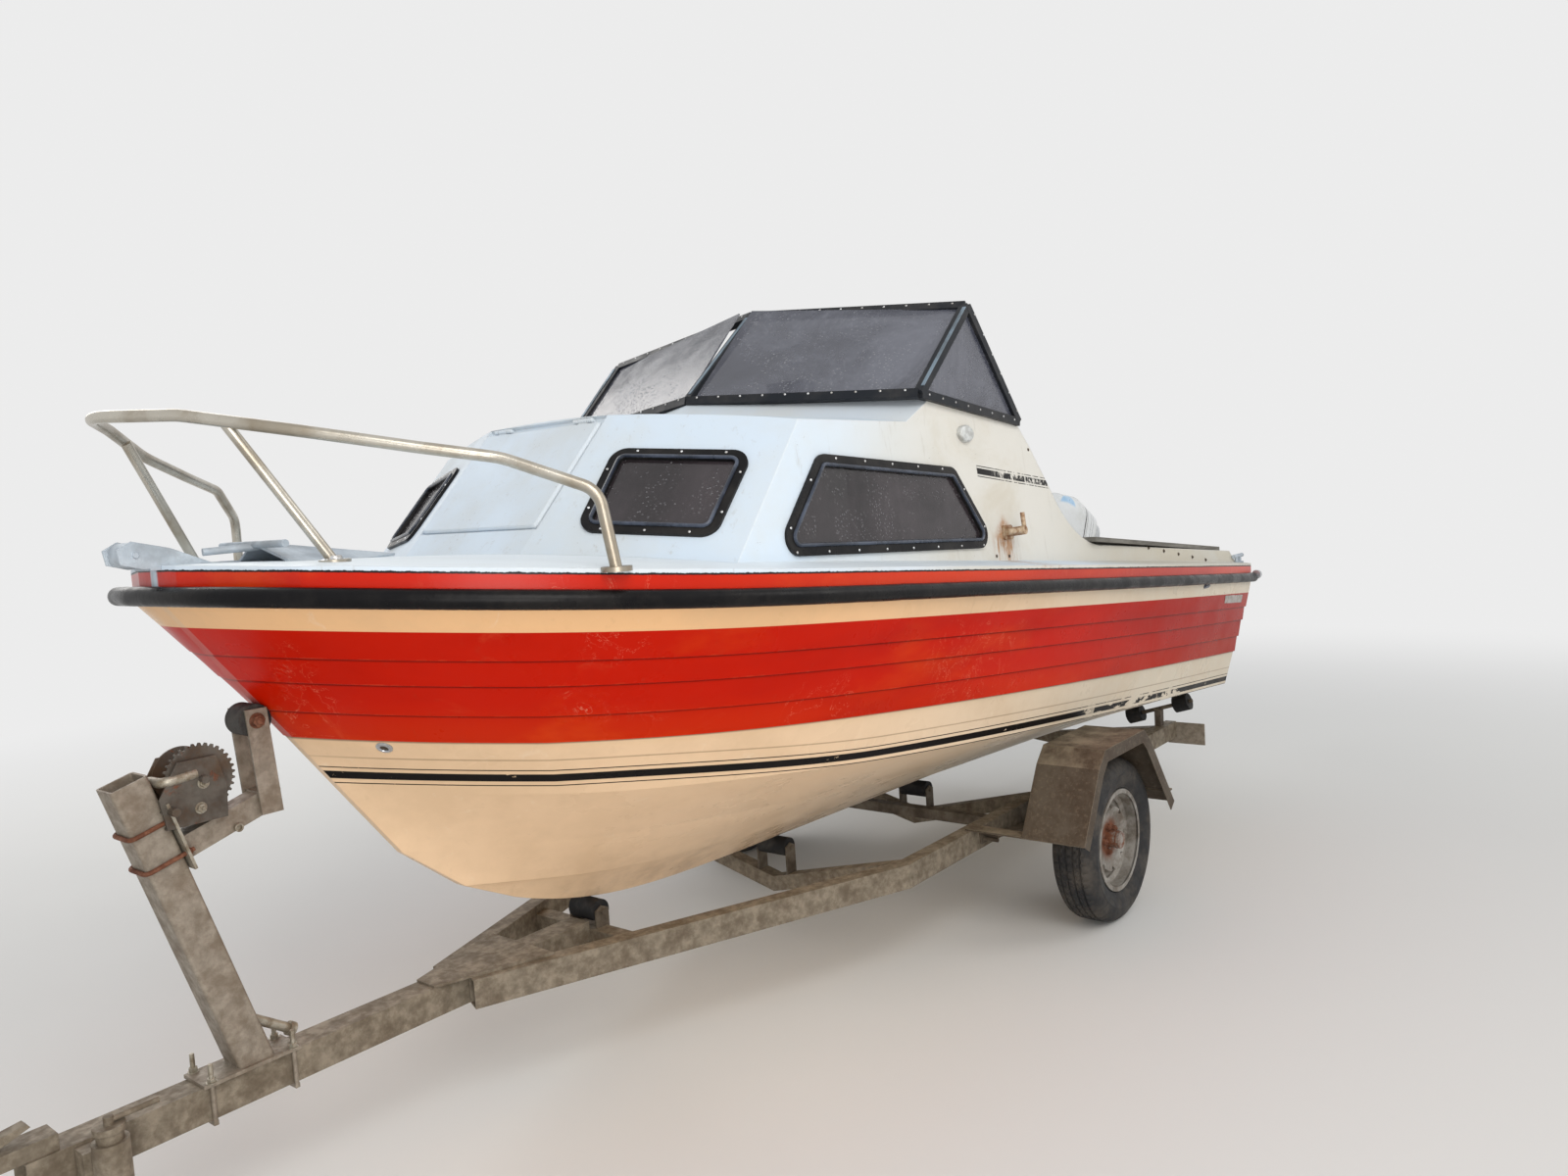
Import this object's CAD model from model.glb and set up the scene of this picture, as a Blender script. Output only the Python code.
import math

import bmesh
import bpy
from mathutils import Matrix, Vector
from mathutils.bvhtree import BVHTree


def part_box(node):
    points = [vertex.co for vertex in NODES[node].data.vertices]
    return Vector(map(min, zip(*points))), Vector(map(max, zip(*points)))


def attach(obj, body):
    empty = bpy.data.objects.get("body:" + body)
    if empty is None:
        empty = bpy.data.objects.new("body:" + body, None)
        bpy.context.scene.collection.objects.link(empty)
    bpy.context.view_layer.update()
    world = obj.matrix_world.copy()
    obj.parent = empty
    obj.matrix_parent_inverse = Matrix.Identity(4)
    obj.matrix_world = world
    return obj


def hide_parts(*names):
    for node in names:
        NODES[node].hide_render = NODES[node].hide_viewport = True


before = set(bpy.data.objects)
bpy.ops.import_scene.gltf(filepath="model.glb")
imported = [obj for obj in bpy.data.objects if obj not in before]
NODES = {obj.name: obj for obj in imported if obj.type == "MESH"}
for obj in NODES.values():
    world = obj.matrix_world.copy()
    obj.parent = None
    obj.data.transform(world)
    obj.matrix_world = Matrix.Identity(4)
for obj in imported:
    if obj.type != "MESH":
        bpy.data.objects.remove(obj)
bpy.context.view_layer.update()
HULL = "boat_and_trailer"

# Places are measured in metres from the point on the floor below the trailer's axle:
# x towards the bow, y to port, z up.
AXLE_LOW, AXLE_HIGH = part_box("axle")
AXLE_X = (AXLE_LOW[0] + AXLE_HIGH[0]) / 2
WHEEL_MIDDLE, WHEEL_HEIGHT = 0.850, 0.286
UP, PORT = Vector((0, 0, 1)), Vector((0, 1, 0))


def at(x, y, z):
    return Vector((x + AXLE_X, y, z))


def flip(point):
    """The same place or direction on the starboard side."""
    return Vector((point[0], -point[1], point[2]))


BOTH_SIDES = (Vector, flip)              # turn a place to port into itself and into its twin
SIDE_NAMES = ((1, "port"), (-1, "starboard"))


def paint(color):
    """The light of a colour that is given as on a screen, 0 to 255. A node's colour stays."""
    if not isinstance(color, tuple):
        return color
    light = [((c / 255 + 0.055) / 1.055) ** 2.4 if c > 10 else c / 255 / 12.92 for c in color]
    return (*light, 1.0)


# Camera

CAMERA_PLACE = (3.737, 2.486, 1.547)
CAMERA_HEADING = math.radians(38.869)   # how far the view turns from straight aft to starboard
CAMERA_PITCH = math.radians(4.431)
CAMERA_ROLL = math.radians(-3.673)
CAMERA_LENS = 26.09
SENSOR_WIDTH = 36


def make_camera():
    data = bpy.data.cameras.new("camera")
    data.sensor_width = SENSOR_WIDTH
    data.lens = CAMERA_LENS
    data.clip_end = 200
    camera = bpy.data.objects.new("camera", data)
    square = math.radians(90)
    camera.matrix_world = (Matrix.Translation(at(*CAMERA_PLACE))
                           @ Matrix.Rotation(square + CAMERA_HEADING, 4, "Z")
                           @ Matrix.Rotation(square - CAMERA_PITCH, 4, "X")
                           @ Matrix.Rotation(CAMERA_ROLL, 4, "Z"))
    bpy.context.collection.objects.link(camera)
    bpy.context.scene.camera = camera


# Materials

class Value:
    """A number that a node gives out, so that it can stand in plain sums."""

    def __init__(self, nodes, socket):
        self.nodes, self.socket = nodes, socket

    def __add__(self, other):
        return self.nodes.math("ADD", self, other)

    def __sub__(self, other):
        return self.nodes.math("SUBTRACT", self, other)

    def __rsub__(self, other):
        return self.nodes.math("SUBTRACT", other, self)

    def __mul__(self, other):
        return self.nodes.math("MULTIPLY", self, other)

    def __or__(self, other):
        return self.nodes.math("MAXIMUM", self, other)

    def __abs__(self):
        return self.nodes.math("ABSOLUTE", self)


class Nodes:
    """A node tree, with short calls for the few kinds of node that are used here."""

    def __init__(self, tree):
        self.tree = tree
        tree.nodes.clear()

    def node(self, kind, inputs=None, **settings):
        made = self.tree.nodes.new(kind)
        for key, value in settings.items():
            setattr(made, key, value)
        for key, value in (inputs or {}).items():
            self.feed(made.inputs[key], value)
        return made

    def feed(self, socket, value):
        if isinstance(value, Value):
            value = value.socket
        if isinstance(value, bpy.types.NodeSocket):
            self.tree.links.new(value, socket)
        else:
            socket.default_value = value

    def math(self, kind, a, b=0.0, clamp=False):
        made = self.node("ShaderNodeMath", {0: a, 1: b}, operation=kind, use_clamp=clamp)
        return Value(self, made.outputs[0])


class Look(Nodes):
    """A material. Masks run from 0 to 1, and colours are as on a screen, 0 to 255."""

    def __init__(self, name):
        self.material = bpy.data.materials.new(name)
        self.material.use_nodes = True
        super().__init__(self.material.node_tree)
        self.shader = self.node("ShaderNodeBsdfPrincipled")
        self.output = self.node("ShaderNodeOutputMaterial", {0: self.shader.outputs[0]})
        self.place = self.node("ShaderNodeTexCoord").outputs["Object"]
        self.normal = self.color = None

    def stretched(self, x, y, z):
        """Coordinates drawn out, so that a pattern on them gets long where a number is small."""
        return self.node("ShaderNodeMapping",
                         {"Vector": self.place, "Scale": (x, y, z)}).outputs[0]

    def noise(self, scale, detail=4.0, rough=0.6, place=None, warp=0.0):
        made = self.node("ShaderNodeTexNoise",
                         {"Vector": place or self.place, "Scale": scale, "Detail": detail,
                          "Roughness": rough, "Distortion": warp})
        return Value(self, made.outputs["Fac"])

    def cells(self, scale, output="Distance"):
        made = self.node("ShaderNodeTexVoronoi", {"Vector": self.place, "Scale": scale})
        return made.outputs[output]

    def step(self, value, low, high, start=0.0, end=1.0):
        """Goes smoothly from start to end while the value goes from low to high."""
        made = self.node("ShaderNodeMapRange", dict(enumerate((value, low, high, start, end))),
                         interpolation_type="SMOOTHSTEP")
        return Value(self, made.outputs[0])

    def patches(self, low, high, *noise, **more):
        """1 where a noise is past high, and 0 where it is short of low."""
        return self.step(self.noise(*noise, **more), low, high)

    def uneven(self, scale, low, high):
        """A roughness that wanders between two numbers."""
        return self.step(self.noise(scale), 0.3, 0.7, low, high)

    def inside(self, value, low, high, soft=0.002):
        """1 where the value lies between low and high, and 0 elsewhere."""
        return self.step(self.math("MINIMUM", value - low, high - value), -soft, soft)

    def ramp(self, value, low, high):
        """Goes straight from 0 to 1 while the value goes from low to high."""
        return self.math("DIVIDE", value - low, high - low, clamp=True)

    def distance(self, a, b):
        return self.math("SQRT", a * a + b * b)

    def round_edges(self, radius):
        """Edges are shaded as if they were rounded; gives 1 along them and 0 elsewhere."""
        self.normal = self.node("ShaderNodeBevel", {"Radius": radius}, samples=4).outputs[0]
        flat = self.node("ShaderNodeNewGeometry").outputs["Normal"]
        along = self.node("ShaderNodeVectorMath", {0: self.normal, 1: flat},
                          operation="DOT_PRODUCT")
        return self.step(along.outputs["Value"], 0.995, 0.93)

    def mix(self, mask, a, b):
        """Colour a where the mask is 0 and colour b where it is 1."""
        return self.node("ShaderNodeMix", {"Factor": mask, 6: paint(a), 7: paint(b)},
                         data_type="RGBA").outputs[2]

    def blend(self, mask, a, b):
        """A number that is a where the mask is 0 and b where it is 1."""
        made = self.node("ShaderNodeMix", {"Factor": mask, 2: a, 3: b}, data_type="FLOAT")
        return Value(self, made.outputs[0])

    def parts(self, vector):
        made = self.node("ShaderNodeSeparateXYZ", {0: vector})
        return [Value(self, socket) for socket in made.outputs]

    def from_axle(self):
        """The place on the object, measured from the axle as everything here is."""
        x, y, z = self.parts(self.place)
        return x - AXLE_X, y, z

    def facing(self):
        return self.parts(self.node("ShaderNodeNewGeometry").outputs["Normal"])

    def bump(self, height, distance, strength=1.0):
        made = self.node("ShaderNodeBump",
                         {"Strength": strength, "Distance": distance, "Height": height})
        if self.normal:
            self.feed(made.inputs["Normal"], self.normal)
        self.normal = made.outputs[0]

    def grain(self, distance, *noise):
        self.bump(self.noise(*noise), distance)

    def smudges(self, color, dirt, amount, scale):
        """Large soft patches of a second colour, broken up by smaller ones."""
        wide, fine = self.noise(scale, 6, 0.62), self.noise(scale * 9)
        return self.mix(self.step(wide + fine * 0.25, 0.52, 0.82) * amount, color, dirt)

    def coat(self, mask, over):
        """Lays another colour over this look's own where the mask is 1."""
        self.color = self.mix(mask, self.color, over)

    def smudge(self, dirt, amount, scale):
        self.color = self.smudges(self.color, dirt, amount, scale)

    def done(self, roughness, **more):
        self.feed(self.shader.inputs["Base Color"], paint(self.color))
        self.feed(self.shader.inputs["Roughness"], roughness)
        for name, value in more.items():
            title = name.replace("_", " ").title().replace("Ior", "IOR")
            self.feed(self.shader.inputs[title], value)
        if self.normal:
            self.feed(self.shader.inputs["Normal"], self.normal)
        return self.material


# The hull's paint runs along the lines of its planks, as a share of the way from the chine (0)
# to the sheer (1).
CHINE_HEIGHT, CHINE_RISE = 0.708, 0.084
SHEER_HEIGHT, SHEER_RISE = 1.184, 0.0805
SHEER_LIFT, SHEER_LIFT_FROM, SHEER_TIP_X = 0.022, 1.8, 2.722
CHINE_LIFT, CHINE_LIFT_FROM, CHINE_TIP_X = 0.028, 2.0, 2.361
STEM_RAKE = 0.34                  # how far the sheer runs ahead of the chine at the bow
LAPS = [0.31, 0.455, 0.61, 0.735]
LAP_SHADE = 0.013                 # how far the shade below a lap reaches
BAND_TOP = 0.868
STRIPE, LOW_LINE, HIGH_LINE = (0.079, 0.123), (0.0505, 0.0565), (0.143, 0.149)
GROOVE = (0.203, 0.211)
MARKS_SINK = -0.052               # how far stripe and groove lie lower, forward of the axle
WORST_X = -0.45                   # where the stripe has flaked most
CREAM = (234, 188, 140)
CREAM_LOW = (234, 202, 166)
CREAM_AFT = (214, 203, 184)
RED = (190, 24, 1)
RED_ORANGE = (206, 60, 10)
RED_DEEP = (164, 14, 1)
RED_FADED = (208, 84, 50)
BLACK_PAINT = (20, 18, 18)
WHITE = (206, 219, 231)
WHITE_AFT = (214, 211, 203)
WHITE_STERN = (196, 190, 176)
PALE_GREY = (206, 206, 200)


def sheer_lift(look, x):
    along = look.ramp(x, SHEER_LIFT_FROM, SHEER_TIP_X)
    return along * along * SHEER_LIFT


def hull_share(look, x, z):
    flat = z - CHINE_HEIGHT - x * CHINE_RISE
    first = look.math("DIVIDE", flat, SHEER_HEIGHT - CHINE_HEIGHT, clamp=True)
    chine_x = x - first * STEM_RAKE
    low_lift = look.ramp(chine_x, CHINE_LIFT_FROM, CHINE_TIP_X) * (1 - first) * CHINE_LIFT
    high_lift = sheer_lift(look, chine_x + STEM_RAKE) * first
    height = SHEER_HEIGHT - CHINE_HEIGHT - x * (CHINE_RISE - SHEER_RISE)
    return look.math("DIVIDE", flat - low_lift - high_lift, height)


def red_gelcoat(look, orange):
    """The bands' colour: deep red, going orange and chalky in patches as old gelcoat does."""
    turned = look.patches(0.50, 0.70, 2.2, 5, 0.6, look.stretched(0.6, 1, 1.6))
    turned = look.math("ADD", turned, orange, clamp=True)
    base = look.mix(turned * 0.8, RED, RED_ORANGE)
    deep = look.patches(0.5, 0.72, 1.7, 4, 0.5, look.stretched(0.5, 1, 2.4))
    base = look.mix(deep * 0.6, base, RED_DEEP)
    chalk = look.patches(0.6, 0.8, 7.5, 7, 0.68, look.stretched(0.6, 1, 1.1), 0.9)
    base = look.mix(chalk * 0.35, base, RED_FADED)
    scratch = look.inside(look.noise(9, 5, 0.6, look.stretched(1.1, 1, 0.7), 1.6),
                          0.497, 0.502, 0.0015)
    return look.mix(scratch * look.patches(0.56, 0.66, 3.1, 3, 0.5) * 0.5, base,
                    (222, 140, 112))


def stripe_mask(look, share, x):
    """The worn black stripe and its two pinstripes, low on the side."""
    band, low_line, high_line = (look.inside(share, low, high, 0.0012)
                                 for low, high in (STRIPE, LOW_LINE, HIGH_LINE))
    worn = look.noise(24, 6, 0.72, look.stretched(0.5, 1, 1.2))
    worst = look.step(abs(x - WORST_X), 0.7, 0.2)
    flaked = look.step(worn + worst * 0.13, 0.655, 0.67)
    blocks = look.patches(0.60, 0.605, 5, 1, 0.4, look.stretched(1.3, 0, 0))
    return (band | (low_line | high_line)) * (1 - (flaked | blocks * worst))


def hull_paint():
    look = Look("hull_paint")
    x, y, z = look.from_axle()
    nx, ny, _ = look.facing()
    share = hull_share(look, x, z)
    look.round_edges(0.004)

    cream = look.mix(look.step(share, 0.5, 0.25), CREAM, CREAM_LOW)
    cream = look.mix(look.step(x, 1.9, -0.5), cream, CREAM_AFT)
    cream = look.smudges(cream, (198, 168, 132), 0.3, 2.4)
    bloom = look.patches(0.6, 0.75, 14, 6, 0.7, warp=0.7)
    cream = look.mix(bloom * 0.3, cream, (240, 226, 206))
    band = look.inside(share, LAPS[0], BAND_TOP, 0.0018)
    orange = look.step(share, 0.55, 0.34, 0.0, 0.35)
    red = look.mix(look.step(x, 0.6, -1.4, 0.0, 0.7), red_gelcoat(look, orange), (140, 24, 4))
    look.color = look.mix(band, cream, red)

    for lap in LAPS:
        shade = (look.step(share, lap - LAP_SHADE, lap - 0.001)
                 * look.step(share, lap + 0.0015, lap))
        look.coat(shade * 0.62, (66, 8, 4))
        lip = look.inside(share, lap, lap + 0.007, 0.002) * look.patches(0.5, 0.7, 20, 5, 0.7)
        look.coat(lip * 0.35, RED_FADED)

    marks = share - look.step(x, 1.95, 1.15, 0.0, MARKS_SINK)
    on_side = look.step(abs(ny), 0.3, 0.42)
    look.coat(stripe_mask(look, marks, x) * on_side, BLACK_PAINT)
    groove = look.inside(marks, *GROOVE, 0.003) * on_side
    look.coat(groove * 0.5, (128, 100, 74))

    stern = look.step(nx, -0.6, -0.8) * look.step(x, -1.3, -1.4)
    look.coat(stern, look.smudges(CREAM_AFT, (186, 172, 150), 0.5, 4))
    outward = ny * look.math("SIGN", y)
    within = look.step(outward, 0.02, -0.06) * look.step(z, 0.5, 0.62)
    within = within | look.step(nx, 0.5, 0.8) * look.step(x, -1.2, -1.3)
    look.coat(within, look.smudges(PALE_GREY, (152, 142, 124), 0.5, 5))
    runs = look.patches(0.6, 0.8, 30, 4, 0.7, look.stretched(1, 1, 0.07))
    look.coat(runs * 0.12, (120, 84, 60))
    grime = look.step(z, 0.68, 0.42) * look.patches(0.35, 0.75, 7, 6, 0.65)
    look.coat(grime * 0.5, (144, 112, 82))

    look.bump(groove, 0.004, -1.0)
    look.grain(0.0012, 9, 3, 0.5)
    look.grain(0.00015, 260, 3)
    polish = look.step(look.noise(4, 5), 0.3, 0.75, 0.24, 0.42)
    return look.done(polish, specular_ior_level=0.06)


# The deck's paint: a rust mark below the folded bracket, a stripe on the cockpit's side, and the
# upright edge with its chipped seam and red band, whose lines are heights over the sheer.
RUST_X, RUST_Z = 0.515, 1.392
DECK_STRIPE, DECK_STRIPE_FALL = (1.515, 1.534), -0.116
DECK_PINSTRIPES, PIN_HALF = (1.5085, 1.5405), 0.0014
EDGE_TOP, RED_TOP = 0.070, 0.058
SEAM_LOW, SEAM_HIGH = 0.0545, 0.0565


def deck_paint():
    look = Look("deck_paint")
    x, y, z = look.from_axle()
    nx, ny, nz = look.facing()
    worn_edge = look.round_edges(0.007)
    chalk = look.noise(3, 6)
    on_deck = look.step(nz, 0.8, 0.95) * look.step(x, 0.6, 1.2) * look.step(z, 1.62, 1.55)
    outward = ny * look.math("SIGN", y)
    look.color = look.mix(look.step(x, 1.55, 0.75) * look.step(nz, 0.96, 0.75), WHITE, WHITE_AFT)
    look.coat(look.step(x, 0.35, -0.4), WHITE_STERN)
    look.coat(look.step(chalk, 0.35, 0.7) * 0.5, PALE_GREY)
    look.coat(on_deck * 0.75, (234, 241, 245))
    warm_side = look.step(x, 1.35, 0.6) * look.step(abs(ny), 0.4, 0.7)
    stains = look.patches(0.42, 0.7, 2.6, 6, 0.66, warp=0.6)
    look.coat(warm_side * stains * 0.5, (192, 182, 160))
    runs = look.patches(0.58, 0.74, 34, 5, 0.72, look.stretched(1, 1, 0.05))
    look.coat(runs * look.step(abs(nz), 0.9, 0.6) * 0.3, (150, 138, 118))
    look.coat(worn_edge * 0.4, (236, 238, 238))
    specks = look.patches(0.7, 0.76, 180, 2, 0.5) * look.patches(0.5, 0.62, 6, 3)
    look.coat(specks * 0.6, (96, 90, 80))

    beside = look.step(y, 0.6, 0.7)
    under = (look.inside(x, RUST_X - 0.06, RUST_X + 0.07, 0.02) * look.step(z, 1.42, 1.38)
             * look.step(z, 1.26, 1.35) * beside)
    trail = under * look.patches(0.42, 0.58, 55, 5, 0.7, look.stretched(1, 1, 0.12))
    round_foot = abs(x - RUST_X) + abs(z - RUST_Z)
    halo = look.step(round_foot, 0.085, 0.03) * beside * look.patches(0.3, 0.6, 40, 5, 0.7)
    look.coat((trail | halo) * 0.85, (166, 112, 54))

    side = look.step(outward, 0.3, 0.5) * look.inside(x, 0.17, 0.63)
    run = z + x * DECK_STRIPE_FALL
    faded = look.patches(0.50, 0.56, 60, 5, 0.75, look.stretched(1, 1, 0.5))
    gone = faded * look.step(x, 0.56, 0.46)
    line = look.inside(run, *DECK_STRIPE, 0.001)
    for middle in DECK_PINSTRIPES:
        line = line | look.inside(run, middle - PIN_HALF, middle + PIN_HALF, 0.0006)
    look.coat(side * line * (1 - gone), BLACK_PAINT)

    edge = z - (x * SHEER_RISE + SHEER_HEIGHT) - sheer_lift(look, x)
    upright = (look.step(abs(nz), 0.8, 0.6) * look.step(abs(y), 0.01, 0.02)
               * look.step(edge, EDGE_TOP + 0.0005, EDGE_TOP - 0.0005)
               * look.step(outward, -0.3, -0.2)
               * (1 - look.step(nx, 0.2, 0.4) * look.step(x, -1, -1.1)))
    chips = look.noise(75, 5, 0.75) * 0.008
    seam = look.inside(edge, chips * 0.4 + SEAM_LOW, chips + SEAM_HIGH, 0.0007)
    band = upright * look.step(edge, RED_TOP + 0.0005, RED_TOP - 0.0005)
    look.coat(band, red_gelcoat(look, look.step(x, 2.3, 0.9, 0.1, 0.9)))
    look.coat(seam * upright, BLACK_PAINT)

    look.grain(0.0005, 60, 5)
    look.bump(look.noise(400, 2), 0.0003, 0.8)
    rough = look.blend(band, look.step(chalk, 0.3, 0.7, 0.42, 0.62), 0.28)
    return look.done(rough, specular_ior_level=0.22)


def rubber(name, base, shine, dust):
    look = Look(name)
    look.round_edges(0.003)
    look.color = look.smudges(base, (112, 106, 98), dust, 5)
    look.grain(0.0004, 90)
    return look.done(look.uneven(12, shine, shine + 0.2), specular_ior_level=0.14)


def glass(name, tint, haze, clear, murk):
    """A thin acrylic sheet: clear is what is let through where it is clean, murk where dirty."""
    look = Look(name)
    dirt = look.noise(3.2, 6, 0.66, warp=0.8)
    runs = look.patches(0.5, 0.75, 40, 4, 0.7, look.stretched(1, 1, 0.08))
    veil = look.math("ADD", look.step(dirt, 0.3, 0.8), runs * 0.3, clamp=True)
    wet = look.step(look.cells(95), 0.34, 0.12) * look.patches(0.4, 0.6, 11, 3)
    look.color = look.mix(veil, tint, haze)
    look.coat(wet * 0.14, (206, 208, 214))
    look.bump(wet, 0.0012)
    alpha = look.math("ADD", look.blend(veil, clear, murk), wet * 0.08, clamp=True)
    return look.done(look.step(dirt, 0.3, 0.8, 0.06, 0.22), alpha=alpha,
                     specular_ior_level=0.6)


def metal(name, base, dark, dirt, roughness, metallic, dirt_amount=0.4, spangle=0.0,
          rust=0.0, scale=4.0):
    look = Look(name)
    edge = look.round_edges(0.002)
    look.color = look.mix(look.patches(0.35, 0.7, scale * 2, 6, 0.62), base, dark)
    look.coat(edge * 0.4, base)
    if spangle:
        tone = look.parts(look.cells(120, "Color"))[0]
        mottle = tone * 0.5 + look.step(look.noise(48, 5, 0.7), 0.35, 0.68, 0.0, 0.7)
        look.coat(mottle * spangle, dark)
        look.grain(0.0004, 150)
    look.smudge(dirt, dirt_amount, scale)
    if rust:
        spots = look.patches(0.72 - rust * 0.3, 0.82 - rust * 0.3, scale * 3, 8, 0.7, warp=0.4)
        look.coat(spots, look.mix(look.noise(60), (124, 68, 34), (74, 42, 26)))
        look.bump(spots * look.noise(120, 5, 0.7), 0.0012)
        metallic = look.blend(spots, metallic, 0.05)
    look.grain(0.0002, 300, 3)
    wide = look.step(look.noise(scale * 4, 5), 0.3, 0.75, roughness, roughness + 0.2)
    return look.done(wide, metallic=metallic)


def plain_look(name, base, dirt, roughness, metallic=0.0, scale=30):
    """A finish for small things: one paint or metal, dirty in patches."""
    look = Look(name)
    look.color = look.smudges(base, dirt, 0.8, scale)
    look.grain(0.0002, scale * 9)
    return look.done(look.uneven(scale, roughness, roughness + 0.2), metallic=metallic)


def mudguard_zinc():
    look = Look("mudguard_zinc")
    nz = look.facing()[2]
    edge = look.round_edges(0.003)
    look.color = look.mix(look.step(nz, 0.45, 0.85), (86, 77, 66), (144, 132, 112))
    look.coat(look.patches(0.4, 0.7, 9, 6, 0.68), (74, 62, 50))
    look.smudge((60, 46, 34), 0.6, 7)
    speckle = look.patches(0.5, 0.7, 70, 5, 0.7)
    look.coat(speckle * 0.35, (132, 118, 98))
    look.coat(edge * 0.6, (150, 138, 118))
    look.grain(0.002, 8, 3, 0.5)
    look.grain(0.0005, 160, 4, 0.65)
    return look.done(0.6, metallic=0.2, specular_ior_level=0.3)


def tube_steel():
    """Bright tube with a soft brown film lying on it in bands."""
    look = Look("tube_steel")
    bands = look.noise(5, 4, 0.55, warp=0.3)
    look.color = look.mix(look.step(bands, 0.4, 0.65), (192, 187, 176), (160, 151, 136))
    look.smudge((128, 110, 84), 0.35, 14)
    return look.done(look.step(bands, 0.3, 0.7, 0.24, 0.36), metallic=0.85)


def rim_finish():
    """Silver paint that has gone dull, with rust spreading from the hub."""
    look = Look("rim_finish")
    x, _, z = look.from_axle()
    look.color = look.mix(look.patches(0.4, 0.7, 14, 6, 0.65), (164, 160, 153), (116, 110, 102))
    look.smudge((84, 68, 50), 0.7, 12)
    near_hub = look.step(look.distance(x, z - WHEEL_HEIGHT), 0.09, 0.05)
    spots = look.patches(0.66, 0.74, 34, 7, 0.72, warp=0.4)
    rust = near_hub * look.patches(0.35, 0.55, 26, 5, 0.7) | spots
    look.coat(rust, look.mix(look.noise(60), (126, 72, 42), (76, 44, 28)))
    look.grain(0.0006, 150, 4, 0.65)
    return look.done(look.blend(rust, 0.42, 0.8), metallic=look.blend(rust, 0.45, 0.0))


def board_wood():
    look = Look("board_wood")
    grain = look.noise(40, 6, 0.65, look.stretched(0.06, 1, 1), 0.3)
    look.color = look.mix(look.step(grain, 0.35, 0.7), (128, 125, 118), (88, 85, 79))
    look.smudge((70, 65, 57), 0.5, 6)
    look.bump(grain, 0.0012)
    return look.done(0.78)


def sole_paint():
    look = Look("sole_paint")
    flecks = look.parts(look.cells(160, "Color"))[0]
    look.color = look.mix(look.step(flecks, 0.4, 0.9), (150, 148, 142), (118, 116, 112))
    look.smudge((96, 84, 66), 0.6, 4)
    look.grain(0.0008, 220)
    return look.done(0.7)


def vinyl():
    look = Look("vinyl")
    look.color = look.smudges((216, 212, 200), (168, 158, 138), 0.5, 6)
    look.bump(look.cells(420), 0.0004, 0.6)
    look.grain(0.0014, 30)
    return look.done(look.uneven(9, 0.4, 0.55))


def tyre_rubber():
    look = Look("tyre_rubber")
    look.color = look.smudges((42, 42, 43), (98, 90, 80), 0.45, 8)
    look.grain(0.0007, 160)
    return look.done(look.uneven(20, 0.62, 0.85), specular_ior_level=0.3)


HOOD_TILT = math.radians(64)
HOOD_LOW, HOOD_HIGH = -0.936, -0.586      # its foot and top along the tilted upright
HOOD_LINES = (0.675, 0.80, 0.87)          # shares of the way down the hood


def hood_paint():
    look = Look("hood_paint")
    x, y, z = look.from_axle()
    look.round_edges(0.02)
    look.color = look.smudges((224, 227, 228), (194, 194, 188), 0.5, 5)
    upward = x * math.sin(HOOD_TILT) + z * math.cos(HOOD_TILT)
    down = look.math("DIVIDE", HOOD_HIGH - upward, HOOD_HIGH - HOOD_LOW)
    aft = x * math.cos(HOOD_TILT) - z * math.sin(HOOD_TILT)
    lines = look.inside(down, 0.60, 0.635, 0.004)
    for middle in HOOD_LINES:
        lines = lines | look.inside(down, middle - 0.005, middle + 0.005, 0.002)
    flank = look.step(abs(y), 0.09, 0.10)
    look.coat(lines * flank * (1 - look.patches(0.62, 0.66, 50, 4, 0.7)), BLACK_PAINT)
    patch = look.inside(down, 0.06, 0.30, 0.01) * look.inside(aft, -2.06, -1.92, 0.01) * flank
    look.coat(patch, (160, 196, 226))
    look.grain(0.0002, 200, 3)
    return look.done(look.uneven(6, 0.22, 0.4), coat_weight=0.3, coat_roughness=0.1)


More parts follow.
